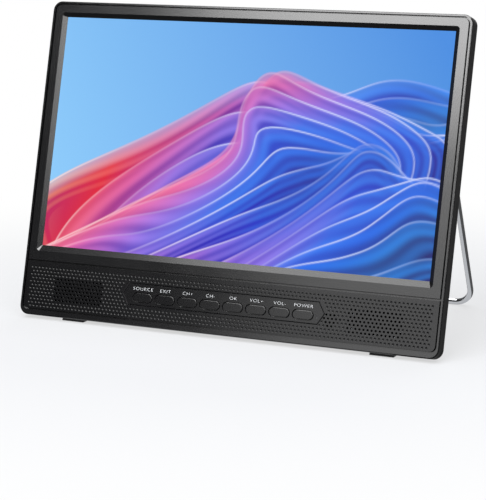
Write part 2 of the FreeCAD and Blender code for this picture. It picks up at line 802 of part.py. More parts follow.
SLOPE_SHIFT = "1.2"
inside = new_sketch(cover, "EdgeInside", y="set_height / 2", depth=cover_front)
rounded_rectangle(inside, "set_width - 2 * wall", "set_height - 2 * wall", "corner_radius - wall")
pocket(cover, "EdgeHollow", inside, f"edge_depth - {SLOPE_SHIFT} - {cover_front}")
edge = new_sketch(cover, "SlopeInsideStart", y="set_height / 2", depth=f"edge_depth - {SLOPE_SHIFT}")
rounded_rectangle(edge, "set_width - 2 * wall", "set_height - 2 * wall", "corner_radius - wall")
top = new_sketch(cover, "SlopeInsideEnd", y=HUMP_MIDDLE, depth=f"hump_start - {SLOPE_SHIFT}")
rounded_rectangle(top, "hump_width - 2 * wall", f"{HUMP_HEIGHT} - 2 * wall", "hump_corner - wall")
loft(cover, "SubtractiveLoft", "SlopeHollow", edge, top)
inside = new_sketch(cover, "HumpInside", y=HUMP_MIDDLE, depth=f"hump_start - {SLOPE_SHIFT}")
rounded_rectangle(inside, "hump_width - 2 * wall", f"{HUMP_HEIGHT} - 2 * wall", "hump_corner - wall")
pocket(cover, "HumpHollow", inside, f"{inner_back} - hump_start + {SLOPE_SHIFT}")

channel_floor = "(hump_depth - channel_depth)"
channel_top = "pivot_height + wire_radius + 0.8"
for side, sign in (("left", -1), ("right", 1)):
    x = f"{sign} * leg_x"
    height = f"({channel_top} + wall - hump_bottom - 0.5)"
    walls = new_sketch(
        cover, f"ChannelWalls_{side}", x, f"hump_bottom + 0.5 + {height} / 2", f"{channel_floor} - wall"
    )
    rounded_rectangle(walls, "channel_width + 2 * wall", height, "0.5")
    pad(cover, f"ChannelWallPad_{side}", walls, f"{inner_back} - {channel_floor} + wall")
    seat = new_sketch(cover, f"HingeSeat_{side}", f"{sign} * 104.5", "pivot_height", f"{inner_back} - 9")
    rounded_rectangle(seat, "25", "20", "1")
    pad(cover, f"HingeSeatPad_{side}", seat, "9")
wells = circles(new_sketch(cover, "Wells", depth="15"), cover_screw_places, "4.2")
pad(cover, "WellPads", wells, f"{inner_back} - 15")
board_posts = [(x, y) for x in ("-104", "-36") for y in ("57", "155")]
posts = circles(
    new_sketch(cover, "BoardPosts", depth="main_board_depth + main_board_thickness"), board_posts, "2.6"
)
pad(cover, "BoardPostPads", posts, f"{inner_back} - main_board_depth - main_board_thickness")
holes = circles(new_sketch(cover, "PostHoles", depth="main_board_depth"), board_posts, "1")
pocket(cover, "PostHoleCuts", holes, "8")

for side, sign in (("left", -1), ("right", 1)):
    x = f"{sign} * leg_x"
    height = f"({channel_top})"
    channel = new_sketch(cover, f"Channel_{side}", x, f"{height} / 2 - 1", channel_floor)
    rounded_rectangle(channel, "channel_width", f"{height} + 2", "1")
    pocket(cover, f"ChannelCut_{side}", channel, "channel_depth + 1")
    recess = new_sketch(
        cover, f"HingeRecess_{side}", f"{sign} * 102.6", "pivot_height", "hump_depth - 9"
    )
    rounded_rectangle(recess, "16", "15.4", "0.6")
    pocket(cover, f"HingeRecessCut_{side}", recess, "10")
    tips = circles(
        new_sketch(
            cover, f"HingeScrewHoles_{side}", f"{sign} * 101.5", "pivot_height", "hump_depth - 11.5"
        ),
        [("0", "-4.9"), ("0", "4.9")],
        "1",
    )
    pocket(cover, f"HingeScrewCuts_{side}", tips, "5")
holes = circles(new_sketch(cover, "WellBores", depth="17"), cover_screw_places, "3.1")
pocket(cover, "WellBoreCuts", holes, "hump_depth - 17")
holes = circles(new_sketch(cover, "WellFloors", depth="14"), cover_screw_places, "1.5")
pocket(cover, "WellFloorCuts", holes, "4")
slot = new_sketch(cover, "VentSlot", "-72", "150", f"{inner_back} - 1")
rounded_rectangle(slot, "2.4", "22", "1.1")
first_slot = pocket(cover, "VentSlotCut", slot, "4")
vents = cover.newObject("PartDesign::LinearPattern", "Vents")
vents.Originals = [first_slot]
vents.Direction = (slot, ["H_Axis"])
vents.Length = 144
vents.Occurrences = 25
cover.Tip = vents
document.recompute()


def side_opening(name, height, width, tall):
    """A window or a round hole through the left wall of the hump: round if width is None."""
    opening = new_sketch(
        cover, name, height, "-socket_depth", "hump_width / 2 - wall - 1", role="YZ_Plane"
    )
    if width is None:
        circles(opening, [("0", "0")], tall)
    else:
        rounded_rectangle(opening, width, tall, "0.6")
    pocket(cover, name + "Cut", opening, "wall + 2")


SOCKETS = {
    "Antenna": "144", "Video": "122", "Usb": "101", "AudioVideo": "85", "Earphone": "73", "Power": "60"
}
side_opening("AntennaOpening", SOCKETS["Antenna"], None, "5")
side_opening("VideoOpening", SOCKETS["Video"], "16", "6.8")
side_opening("UsbOpening", SOCKETS["Usb"], "14.2", "7")
side_opening("AudioVideoOpening", SOCKETS["AudioVideo"], None, "3.2")
side_opening("EarphoneOpening", SOCKETS["Earphone"], None, "3.2")
side_opening("PowerOpening", SOCKETS["Power"], None, "4.4")
finish(cover, "rear_cover")
finish(
    screws("CoverScrews", cover_screw_places, "17", "7", "2.5", "1.8", "cover_screw_radius"), "cover_screws"
)

# ---- hinge blocks: each holds one end of the wire in a blind bore ------------------------------

hinge_screw_places = []
for side, sign in (("left", -1), ("right", 1)):
    outer = f"{sign} * 108.2"
    inner = f"{sign} * 95"
    low, high = (inner, outer) if sign > 0 else (outer, inner)
    body = block(
        f"HingeBody_{side}",
        low,
        high,
        "pivot_height - 7.5",
        "pivot_height + 7.5",
        "hump_depth - 9",
        "hump_depth",
    )
    mouth, end = f"{sign} * 109", f"{sign} * (pin_end - 0.5)"
    low, high = (end, mouth) if sign > 0 else (mouth, end)
    bore = crosswise_rod(
        f"HingeBore_{side}", low, high, "pivot_height", "pivot_depth", "wire_radius + pin_clearance"
    )
    places = [(f"{sign} * 101.5", f"pivot_height + {way} * 4.9") for way in (-1, 1)]
    hinge_screw_places += places
    tools = [bore]
    for count, (x, y) in enumerate(places):
        tools.append(rod(f"HingeHole_{side}_{count}", x, y, "hump_depth - 10", "hump_depth + 1", "1.1"))
        tools.append(rod(f"HingeHead_{side}_{count}", x, y, "hump_depth - 1.6", "hump_depth + 1", "1.9"))
    hinge_tools = together("Compound", f"HingeTools_{side}", tools)
    finish(cut(f"Hinge_{side}", body, hinge_tools), "hinge_block_" + side)
finish(
    screws(
        "HingeScrews", hinge_screw_places, "hump_depth - 1.6", "hump_depth - 11.3", "1.7", "1.2", "1"
    ),
    "hinge_screws",
)

# ---- wire stand: one bent wire, drawn hanging straight down from its own pivot -----------------

wire = new_body("stand_wire")
path = new_sketch(wire, "WirePath")
leg_x, leg, pin = number("leg_x"), number("leg_length"), number("pin_end")
small, large = number("pin_bend"), number("foot_bend")
quarter = math.pi / 2
axis = Vector(0, 0, 1)
runs = [
    Part.LineSegment(Vector(-pin, 0, 0), Vector(small - leg_x, 0, 0)),
    Part.ArcOfCircle(Part.Circle(Vector(small - leg_x, -small, 0), axis, small), quarter, 2 * quarter),
    Part.LineSegment(Vector(-leg_x, -small, 0), Vector(-leg_x, large - leg, 0)),
    Part.ArcOfCircle(
        Part.Circle(Vector(large - leg_x, large - leg, 0), axis, large), 2 * quarter, 3 * quarter
    ),
    Part.LineSegment(Vector(large - leg_x, -leg, 0), Vector(leg_x - large, -leg, 0)),
    Part.ArcOfCircle(
        Part.Circle(Vector(leg_x - large, large - leg, 0), axis, large), 3 * quarter, 4 * quarter
    ),
    Part.LineSegment(Vector(leg_x, large - leg, 0), Vector(leg_x, -small, 0)),
    Part.ArcOfCircle(Part.Circle(Vector(leg_x - small, -small, 0), axis, small), 0, quarter),
    Part.LineSegment(Vector(leg_x - small, 0, 0), Vector(pin, 0, 0)),
]
for run in runs:
    path.addGeometry(run, False)
# Each of the nine runs and arcs ends where the next one starts, and is tangent to it.
for run in range(8):
    path.addConstraint(Sketcher.Constraint("Tangent", run, 2, run + 1, 1))
for index in (0, 4, 8):
    path.addConstraint(Sketcher.Constraint("Horizontal", index))
for index in (2, 6):
    path.addConstraint(Sketcher.Constraint("Vertical", index))
path.addConstraint(Sketcher.Constraint("Equal", 1, 7))
path.addConstraint(Sketcher.Constraint("Equal", 3, 5))
for name, constraint, formula in (
    ("pin_bend", Sketcher.Constraint("Radius", 1, small), "pin_bend"),
    ("foot_bend", Sketcher.Constraint("Radius", 3, large), "foot_bend"),
    ("left_leg", Sketcher.Constraint("DistanceX", 2, 1, -1, 1, leg_x), "leg_x"),
    ("right_leg", Sketcher.Constraint("DistanceX", -1, 1, 6, 1, leg_x), "leg_x"),
    ("foot_bar", Sketcher.Constraint("DistanceY", 4, 1, -1, 1, leg), "leg_length"),
    ("left_pin", Sketcher.Constraint("DistanceX", 0, 1, -1, 1, pin), "pin_end"),
    ("right_pin", Sketcher.Constraint("DistanceX", -1, 1, 8, 2, pin), "pin_end"),
):
    bind(path, path.addConstraint(constraint), name, formula)
path.addConstraint(Sketcher.Constraint("PointOnObject", 0, 1, -1))
path.addConstraint(Sketcher.Constraint("PointOnObject", 8, 2, -1))
section = circles(
    new_sketch(wire, "WireSection", depth="pin_end", role="YZ_Plane"), [("0", "0")], "wire_radius"
)
bent = wire.newObject("PartDesign::AdditivePipe", "BentWire")
bent.Profile = section
bent.Spine = path
document.recompute()
open_angle = math.degrees(leg_angle) + number("lean")
finish(
    wire,
    "stand_wire",
    Placement(
        Vector(0, number("pivot_height"), -number("pivot_depth")), Rotation(Vector(1, 0, 0), open_angle)
    ),
)

# ---- rubber feet: wedges under the rear cover's edge, flat on the floor once the set leans back -


def floor_height(depth):
    """The floor's height in the upright set's frame, at a depth, as a formula."""
    return f"(({depth}) * tan(lean * 1deg) - front_edge_rise / cos(lean * 1deg))"


SLOPE_RISE = "(foot_back - edge_depth) * hump_bottom / (hump_start - edge_depth)"
feet = []
for side, left in (("left", "-foot_inner - foot_length"), ("right", "foot_inner")):
    rubber = new_body("foot_" + side)
    profile = new_sketch(rubber, f"FootProfile_{side}", depth=f"-({left})", role="YZ_Plane")
    polygon(
        profile,
        [
            ("0", "-foot_front"),
            (floor_height("foot_front"), "-foot_front"),
            (floor_height("foot_back"), "-foot_back"),
            (SLOPE_RISE, "-foot_back"),
            ("0", "-edge_depth"),
        ],
    )
    feature(rubber, "Pad", f"FootPad_{side}", profile, "foot_length")
    feet.append(rubber)
finish(together("Compound", "Feet", feet), "rubber_feet")

# ---- main board, tuner can, processor and heat sink --------------------------------------------

board_back = "(main_board_depth + main_board_thickness)"
board = block(
    "MainBoardPlate",
    "main_board_left",
    "main_board_right",
    "main_board_bottom",
    "main_board_top",
    "main_board_depth",
    board_back,
)
board_holes = [rod(f"BoardHole_{i}", x, y, "18", "24", "1.2") for i, (x, y) in enumerate(board_posts)]
finish(cut("MainBoard", board, together("Compound", "BoardHoles", board_holes)), "main_board")
finish(block("TunerCan", "-98", "-66", "122", "150", board_back, f"{board_back} + 5"), "tuner_can")
finish(block("Processor", "-82", "-64", "84", "102", board_back, f"{board_back} + 1.5"), "processor")
fins = [block("SinkBase", "-83", "-63", "83", "103", f"{board_back} + 1.5", f"{board_back} + 3")]
for count in range(7):
    left = f"-83 + {count} * 3"
    fins.append(
        block(f"Fin_{count}", left, f"{left} + 1", "83", "103", f"{board_back} + 3", f"{board_back} + 9")
    )
finish(fused("HeatSink", fins), "heat_sink")
board_screw_list = []
for count, (x, y) in enumerate(board_posts):
    head = rod(f"BoardScrewHead_{count}", x, y, "main_board_depth - 1.2", "main_board_depth", "2")
    shank = rod(f"BoardScrewShank_{count}", x, y, "main_board_depth", "main_board_depth + 6", "1")
    board_screw_list.append(fused(f"BoardScrew_{count}", [head, shank]))
finish(together("Compound", "BoardScrews", board_screw_list), "board_screws")

# ---- sockets along the left edge of the main board ---------------------------------------------

MOUTH = "(-hump_width / 2 + 0.3)"


def slotted_socket(label, height, wide, tall, shell, tongue, length):
    """A sheet-metal shell with a rectangular mouth and a contact tongue in the middle."""
    y, d = SOCKETS[height], "socket_depth"
    base = block(
        f"{height}Shell", MOUTH, f"{MOUTH} + {length}", f"{y} - {wide} / 2", f"{y} + {wide} / 2",
        f"{d} - {tall} / 2", f"{d} + {tall} / 2",
    )
    mouth = block(
        f"{height}Mouth", f"{MOUTH} - 1", f"{MOUTH} + {length} - 2",
        f"{y} - {wide} / 2 + {shell}", f"{y} + {wide} / 2 - {shell}",
        f"{d} - {tall} / 2 + {shell}", f"{d} + {tall} / 2 - {shell}",
    )
    tongue_block = block(
        f"{height}Tongue", f"{MOUTH} + 1.5", f"{MOUTH} + {length} - 2",
        f"{y} - {wide} / 2 + 1.8", f"{y} + {wide} / 2 - 1.8", f"{d} - {tongue} / 2", f"{d} + {tongue} / 2",
    )
    hollow = cut(f"{height}Hollow", base, mouth)
    return finish(fused(height + "Socket", [hollow, tongue_block]), label)


slotted_socket("video_socket", "Video", "15.2", "5.8", "0.5", "1.2", "12")
slotted_socket("usb_socket", "Usb", "13.4", "6", "0.5", "1.8", "14")


def round_socket(label, height, case_size, bore_radius, length, pin_radius=None):
    """A moulded case with a round mouth, and a centre pin if the plug needs one."""
    y, d = SOCKETS[height], "socket_depth"
    half = f"{case_size} / 2"
    case = block(
        f"{height}Case", f"{MOUTH} + 2", f"{MOUTH} + {length} + 2",
        f"{y} - {half}", f"{y} + {half}", f"{d} - {half}", f"{d} + {half}",
    )
    nose = crosswise_rod(f"{height}Nose", MOUTH, f"{MOUTH} + 2", y, d, f"{bore_radius} + 1.2")
    whole = fused(f"{height}Whole", [case, nose])
    bore = crosswise_rod(f"{height}Bore", f"{MOUTH} - 1", f"{MOUTH} + {length}", y, d, bore_radius)
    socket = cut(f"{height}Bored", whole, bore)
    if pin_radius is not None:
        centre = crosswise_rod(f"{height}Pin", f"{MOUTH} + 1", f"{MOUTH} + {length}", y, d, pin_radius)
        socket = fused(f"{height}Pinned", [socket, centre])
    return finish(socket, label)


round_socket("audio_video_socket", "AudioVideo", "8", "jack_radius", "13")
round_socket("earphone_socket", "Earphone", "8", "jack_radius", "13")
round_socket("power_socket", "Power", "8", "2.8", "10", "1")
barrel = crosswise_rod(
    "AntennaBarrel", f"{MOUTH} - 9", f"{MOUTH} + 4", SOCKETS["Antenna"], "socket_depth", "4.7"
)
case = block(
    "AntennaCase", f"{MOUTH} + 4", f"{MOUTH} + 14", "139", "149", "socket_depth - 4", "socket_depth + 4"
)
contact = crosswise_rod(
    "AntennaContact", f"{MOUTH} - 10", f"{MOUTH} + 2", SOCKETS["Antenna"], "socket_depth", "1.2"
)
barrel_case = fused("AntennaWhole", [barrel, case])
finish(cut("AntennaSocket", barrel_case, contact), "antenna_socket")

# ---- battery: three round cells in an open tray ------------------------------------------------

cells = []
for count in range(3):
    y = f"battery_y + {count} * battery_pitch"
    cells.append(
        crosswise_rod(
            f"Cell_{count}", "battery_x", "battery_x + battery_length", y, "battery_depth", "cell_radius"
        )
    )
finish(together("Compound", "Cells", cells), "battery_cells")
tray = block(
    "TrayBlock",
    "battery_x - 2.5",
    "battery_x + battery_length + 2.5",
    "battery_y - cell_radius - 2",
    "battery_y + 2 * battery_pitch + cell_radius + 2",
    "battery_depth - 7",
    inner_back,
)
inside = block(
    "TrayInside",
    "battery_x - 1",
    "battery_x + battery_length + 1",
    "battery_y - cell_radius - 0.5",
    "battery_y + 2 * battery_pitch + cell_radius + 0.5",
    "battery_depth - 8",
    "battery_depth + cell_radius + 0.1",
)
finish(cut("Tray", tray, inside), "battery_tray")

# ---- check every object and write one file for each piece --------------------------------------

document.recompute()
for item in document.Objects:
    if "Invalid" in item.State or "Error" in item.State:
        raise RuntimeError(f"{item.Name} failed: {item.State}")
os.makedirs("parts", exist_ok=True)
for piece in finished:
    shape = piece.Shape
    if shape.isNull() or not shape.isValid() or not shape.Solids:
        raise RuntimeError(f"{piece.Label} has no valid solid")
    shape.exportStep(f"parts/{piece.Label}.step")
    box = shape.BoundBox
    print(
        f"{piece.Label:24s} {len(shape.Solids):2d} solids {shape.Volume:10.1f} mm3"
        f"  x {box.XMin:8.2f} {box.XMax:8.2f}"
        f"  y {box.YMin:8.2f} {box.YMax:8.2f}"
        f"  z {box.ZMin:8.2f} {box.ZMax:8.2f}"
    )
print(f"{len(finished)} pieces, opens {open_angle:.3f} degrees")
print(f"pivot at y {pivot_back - rearmost / 2:.4f} z {pivot_up:.4f}")
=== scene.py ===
"""A portable television that leans back on its own wire stand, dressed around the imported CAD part.

The camera and the studio come first. Each piece of the television then has its own section, in the
order in which the set is put together: face, keys, display, inside, rear cover, stand.
"""

import math

import bpy
import numpy as np
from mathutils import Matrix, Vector
from mathutils.geometry import delaunay_2d_cdt


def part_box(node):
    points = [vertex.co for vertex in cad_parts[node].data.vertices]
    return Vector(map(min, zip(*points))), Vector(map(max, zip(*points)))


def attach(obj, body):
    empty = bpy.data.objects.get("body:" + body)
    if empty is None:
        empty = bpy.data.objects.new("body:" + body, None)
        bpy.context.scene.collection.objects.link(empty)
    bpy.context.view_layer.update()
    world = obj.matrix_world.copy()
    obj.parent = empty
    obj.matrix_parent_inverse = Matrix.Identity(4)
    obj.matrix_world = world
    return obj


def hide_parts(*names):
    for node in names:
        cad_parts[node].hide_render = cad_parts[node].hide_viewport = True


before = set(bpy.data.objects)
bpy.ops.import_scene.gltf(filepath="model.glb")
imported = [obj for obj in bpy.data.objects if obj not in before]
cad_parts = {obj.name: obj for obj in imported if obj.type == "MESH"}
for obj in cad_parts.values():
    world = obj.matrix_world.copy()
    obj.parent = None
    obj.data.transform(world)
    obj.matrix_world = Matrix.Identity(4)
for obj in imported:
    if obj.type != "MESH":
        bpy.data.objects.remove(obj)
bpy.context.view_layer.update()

# ---- camera ----------------------------------------------------------------------------------------
# A long lens a little over a metre away, to the right of the set and a little above it. It is
# turned to the left and dips a little towards the set.

SCREEN_MIDDLE = Vector((0.0, -0.04906, 0.1192))
CAMERA_FROM_SCREEN = Vector((0.5049, -1.0625, 0.1632))
CAMERA_TURN, CAMERA_DIP, CAMERA_LENS = math.radians(25.29), math.radians(11.12), 137.7
camera = bpy.data.objects.new("camera", bpy.data.cameras.new("camera"))
bpy.context.scene.collection.objects.link(camera)
camera.data.lens = CAMERA_LENS
camera.data.clip_start = 0.05
camera.location = SCREEN_MIDDLE + CAMERA_FROM_SCREEN
camera_looks = Vector(
    (
        -math.sin(CAMERA_TURN) * math.cos(CAMERA_DIP),
        math.cos(CAMERA_TURN) * math.cos(CAMERA_DIP),
        -math.sin(CAMERA_DIP),
    )
)
camera.rotation_euler = camera_looks.to_track_quat("-Z", "Y").to_euler()
bpy.context.scene.camera = camera

# ---- studio ----------------------------------------------------------------------------------------
# A plain pale floor that fades into a white surround, and five soft boxes: a large one in front, which
# the satin face mirrors at its right end, a dim one below it, one each on the right, overhead and behind.


def linear(hex_colour):
    """An sRGB hex colour as linear red, green, blue and alpha."""
    parts = np.array([int(hex_colour[place : place + 2], 16) for place in (1, 3, 5)]) / 255
    curve = np.where(parts <= 0.04045, parts / 12.92, ((parts + 0.055) / 1.055) ** 2.4)
    return (*curve.tolist(), 1.0)


def add_node(tree, kind, settings, links):
    """Adds a shader node. A setting goes to the input of that name or number, or else to the node itself,
    and a link joins an input to another node's output."""
    node = tree.nodes.new("ShaderNode" + kind)
    for name, value in settings.items():
        if isinstance(name, int) or name in node.inputs:
            node.inputs[name].default_value = value
        else:
            setattr(node, name, value)
    for name, output in links.items():
        tree.links.new(output, node.inputs[name])
    return node


def soft_box(name, azimuth, elevation, distance, width, height, watts):
    """An area light aimed at the screen. Azimuth 0 is straight in front, and 90 is the right side."""
    turn, rise = math.radians(azimuth), math.radians(elevation)
    towards = Vector(
        (math.sin(turn) * math.cos(rise), -math.cos(turn) * math.cos(rise), math.sin(rise))
    )
    light = bpy.data.objects.new(name, bpy.data.lights.new(name, "AREA"))
    bpy.context.scene.collection.objects.link(light)
    light.data.shape = "RECTANGLE"
    light.data.size, light.data.size_y = width, height
    light.data.energy = watts
    light.location = SCREEN_MIDDLE + distance * towards
    light.rotation_euler = towards.to_track_quat("Z", "Y").to_euler()


soft_box("front_box", -8.5, 41.5, 2.0, 1.45, 1.45, 87)
soft_box("low_front_box", -6, 10, 2.0, 1.3, 0.7, 6.8)
soft_box("right_box", 50, 27, 2.0, 0.8, 1.0, 26)
soft_box("overhead_box", 0, 88, 2.0, 2.3, 2.3, 84)
soft_box("rear_box", 175, 38, 2.0, 1.6, 1.0, 26)

# The floor's share of glow is the least one up to the first radius and whole from the second one.
FADE_STARTS, FADE_ENDS, LEAST_GLOW = 0.16, 0.5, 0.62
FLOOR_EYE, NEAR_RADIUS, FLOOR_RADIUS, FLOOR_RINGS, FLOOR_SPOKES = 0.0005, 0.14, 9.0, 16, 96


def floor_ring(name, inner, outer):
    """A flat ring: radii spaced by squares from inner to outer, times angles all the way round."""
    radius, turn = np.meshgrid(
        inner + (outer - inner) * np.linspace(0, 1, FLOOR_RINGS) ** 2,
        np.linspace(0, 2 * np.pi, FLOOR_SPOKES, endpoint=False),
        indexing="ij",
    )
    points = np.stack((radius * np.cos(turn), radius * np.sin(turn), 0 * turn), axis=-1)
    ring, spoke = np.meshgrid(np.arange(FLOOR_RINGS - 1), np.arange(FLOOR_SPOKES), indexing="ij")
    first, following = ring * FLOOR_SPOKES, (spoke + 1) % FLOOR_SPOKES
    corners = (
        first + spoke,
        first + FLOOR_SPOKES + spoke,
        first + FLOOR_SPOKES + following,
        first + following,
    )
    mesh = bpy.data.meshes.new(name)
    mesh.from_pydata(points.reshape(-1, 3).tolist(), [], np.stack(corners, axis=-1).reshape(-1, 4).tolist())
    piece = bpy.data.objects.new(name, mesh)
    bpy.context.scene.collection.objects.link(piece)
    return piece


near_floor = floor_ring("near_floor", FLOOR_EYE, NEAR_RADIUS)
far_floor = floor_ring("far_floor", NEAR_RADIUS, FLOOR_RADIUS)
# Only the floor close to the set shows in its gloss, as on a table top in a dark room.
far_floor.visible_glossy = False
# White vinyl sweep: matt, and lit so strongly further out that it can't be told from the surround.
vinyl = bpy.data.materials.new("white_vinyl_sweep")
vinyl.use_nodes = True
tree = vinyl.node_tree
place = add_node(tree, "TexCoord", {}, {}).outputs["Object"]
away = add_node(tree, "VectorMath", {"operation": "LENGTH"}, {0: place}).outputs["Value"]
fade = add_node(
    tree,
    "MapRange",
    {
        "interpolation_type": "SMOOTHSTEP",
        "From Min": FADE_STARTS,
        "From Max": FADE_ENDS,
        "To Min": LEAST_GLOW,
    },
    {"Value": away},
)
matt = add_node(tree, "BsdfDiffuse", {"Color": linear("#86888C")}, {})
glow = add_node(tree, "Emission", {"Color": (1.0, 1.0, 1.0, 1.0)}, {})
both = add_node(tree, "MixShader", {}, {0: fade.outputs[0], 1: matt.outputs[0], 2: glow.outputs[0]})
tree.links.new(both.outputs[0], tree.nodes["Material Output"].inputs["Surface"])
near_floor.data.materials.append(vinyl)
far_floor.data.materials.append(vinyl)

# The surround is white to the camera and a dim grey to everything else, as a dark studio wall would be.
SURROUND_GREY = 0.12
surround = bpy.data.worlds.new("studio_surround")
bpy.context.scene.world = surround
surround.use_nodes = True
tree = surround.node_tree
seen = add_node(tree, "LightPath", {}, {}).outputs["Is Camera Ray"]
level = add_node(tree, "MapRange", {"To Min": SURROUND_GREY, "To Max": 1.0}, {"Value": seen})
tree.links.new(level.outputs[0], tree.nodes["Background"].inputs["Strength"])
tree.nodes["Background"].inputs["Color"].default_value = (1.0, 1.0, 1.0, 1.0)
bpy.context.scene.view_settings.view_transform = "Standard"

# ---- front housing and display bezel ---------------------------------------------------------------
# The housing is the open frame that everything is screwed to, and the bezel is the upper half of the
# face. Both are moulded in black ABS from a finely blasted tool, which leaves a satin gloss.


PATCH_MM = 25.0


def finish_of(name, colour, fleck, roughness, spread, grain_mm, relief_mm, settings, stretch=(1, 1, 1)):
    """A material with two colours and a roughness that wander over a few centimetres, and a fine relief.
    Grain is the width of the relief's bumps and relief their height. Stretch draws the grain out."""
    material = bpy.data.materials.new(name)
    material.use_nodes = True
    tree = material.node_tree
    shader = tree.nodes["Principled BSDF"]
    for socket, value in settings.items():
        shader.inputs[socket].default_value = value
    place = add_node(tree, "TexCoord", {}, {}).outputs["Object"]
    drawn_out = add_node(tree, "Mapping", {"Scale": stretch}, {"Vector": place}).outputs["Vector"]
    broad = add_node(tree, "TexNoise", {"Scale": 1000.0 / PATCH_MM, "Detail": 3.0}, {"Vector": drawn_out})
    fine = add_node(
        tree, "TexNoise", {"Scale": 1000.0 / grain_mm, "Detail": 2.0}, {"Vector": drawn_out}
    )
    mix = add_node(
        tree,
        "Mix",
        {"data_type": "RGBA", 6: linear(colour), 7: linear(fleck)},
        {0: broad.outputs["Fac"]},
    )
    wander = add_node(
        tree,
        "MapRange",
        {"From Min": 0.3, "From Max": 0.7, "To Min": roughness - spread, "To Max": roughness + spread},
        {"Value": broad.outputs["Fac"]},
    )
    bump = add_node(tree, "Bump", {"Distance": relief_mm / 1000}, {"Height": fine.outputs["Fac"]})
    tree.links.new(mix.outputs[2], shader.inputs["Base Color"])
    tree.links.new(wander.outputs[0], shader.inputs["Roughness"])
    tree.links.new(bump.outputs[0], shader.inputs["Normal"])
    return material


def dress(material, *names):
    """Gives CAD nodes a material in place of the plain one they come with."""
    for name in names:
        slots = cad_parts[name].data.materials
        slots.clear()
        slots.append(material)


satin_abs = finish_of("satin_black_abs", "#040405", "#060607", 0.175, 0.012, 0.9, 0.0008, {})
dress(satin_abs, "front_housing", "display_bezel")

# ---- speaker panel ---------------------------------------------------------------------------------
# The lower half of the face, a thin ABS moulding with the key openings. Its whole front is pierced or
# dimpled on one triangular grid: through holes over the two loudspeakers, blind dimples elsewhere, and a
# plain field round the keys with a fine line scored about it.

LEAN = math.radians(14.69)
CELL_BOTTOM, CELL_TOP, CELL_DEPTH = 40.6, 198.5, 2.1
cell_low, cell_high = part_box("display_cell")
FACE_BACK = cell_low.y * 1000 - CELL_BOTTOM * math.sin(LEAN) - CELL_DEPTH * math.cos(LEAN)
FACE_RISE = cell_high.z * 1000 - CELL_TOP * math.cos(LEAN) + CELL_DEPTH * math.sin(LEAN)


def on_face(across, up, depth):
    """Millimetres across, up and into the leaning face, as metres in the frame: the height and the depth
    turn by the lean about the face's lower edge."""
    back = up * math.sin(LEAN) + depth * math.cos(LEAN) + FACE_BACK
    rise = up * math.cos(LEAN) - depth * math.sin(LEAN) + FACE_RISE
    return np.stack(np.broadcast_arrays(across, back, rise), axis=-1) / 1000


PANEL_HALF, PANEL_LOW, PANEL_HIGH, PANEL_THICK = 141.1, 4.2, 34.8, 2.0
CORNER_LOW, CORNER_HIGH, CORNER_POINTS, EDGE_ROUND = 3.6, 0.5, 9, 0.12
HOLE_PITCH, ROW_PITCH, TOP_ROW, ROWS = 2.61, 2.26, 31.1, 12
HOLE_RADIUS, HOLE_SIDES, LAST_HOLE = 0.75, 12, 137.1
DIMPLE_DEPTH, DIMPLE_FLOOR, RIM_BREAK = 0.55, 0.14, 0.05
FIELD_MIDDLE, FIELD_HALF, FIELD_CORNER, FIELD_TIP = 20.1, 6.8, 65.0, 69.2
FIELD_MARGIN, SCORE_HALF, SCORE_DEPTH = 1.4, 0.35, 0.35
TIP_GROWTH, CORNER_GROWTH, FIELD_STEPS = 1.2, 0.75, (6, 6, 90, 6, 6, 90)
LAST_STEP, SPEAKER_ROWS, SPEAKER_STEPS, RECEIVER_STEP = 53, (3, 9), (32.5, 45.5), 28
KEY_COUNT, KEY_PITCH, KEY_LINE = 8, 15.73, 18.2
KEY_HALF, KEY_RADIUS, KEY_POINTS, KEY_BREAK = 4.0, 3.1, 13, 0.15
LIGHT_PLACE, LIGHT_RADIUS = (64.4, 17.1), 0.6
KEY_PLACES = (np.arange(KEY_COUNT) - (KEY_COUNT - 1) / 2) * KEY_PITCH


def panel_edge(inset):
    """The panel's outline, anticlockwise: an arc at each corner, drawn in by inset."""
    corners = np.array(
        [
            (1, PANEL_LOW, 1, CORNER_LOW, -90),
            (1, PANEL_HIGH, -1, CORNER_HIGH, 0),
            (-1, PANEL_HIGH, -1, CORNER_HIGH, 90),
            (-1, PANEL_LOW, 1, CORNER_LOW, 180),
        ]
    )
    side, level, inward, corner, start = (column[:, None] for column in corners.T)
    angle = np.radians(start + np.linspace(0, 90, CORNER_POINTS)[None, :])
    across = side * (PANEL_HALF - corner) + (corner - inset) * np.cos(angle)
    up = level + inward * corner + (corner - inset) * np.sin(angle)
    return np.stack((across, up), axis=-1).reshape(-1, 2)


def field_edge(offset):
    """The scored hexagon round the keys, anticlockwise, with points every few millimetres."""
    tip, corner = FIELD_TIP + TIP_GROWTH * offset, FIELD_CORNER + CORNER_GROWTH * offset
    half = FIELD_HALF + offset
    right = [(corner, -half), (tip, 0), (corner, half)]
    left = [(-corner, half), (-tip, 0), (-corner, -half)]
    corners = np.array(right + left)
    runs = [
        start + (end - start) * (np.arange(count) / count)[:, None]
        for start, end, count in zip(corners, np.roll(corners, -1, axis=0), FIELD_STEPS)
    ]
    return np.concatenate(runs) + (0, FIELD_MIDDLE)


def key_edge(centre, grow):
    """A key opening: a half circle at each end, joined by straight runs."""
    ends = (np.linspace(-90, 90, KEY_POINTS), np.linspace(90, 270, KEY_POINTS))
    angle, side = np.radians(np.concatenate(ends)), np.repeat((1, -1), KEY_POINTS)
    across = centre + side * KEY_HALF + (KEY_RADIUS + grow) * np.cos(angle)
    return np.stack((across, KEY_LINE + (KEY_RADIUS + grow) * np.sin(angle)), axis=-1)


def circles(centres, size):
    """Circles as rows of points, one for each centre."""
    angle = np.arange(HOLE_SIDES) * 2 * np.pi / HOLE_SIDES
    return centres[:, None, :] + size * np.stack((np.cos(angle), np.sin(angle)), axis=-1)[None]


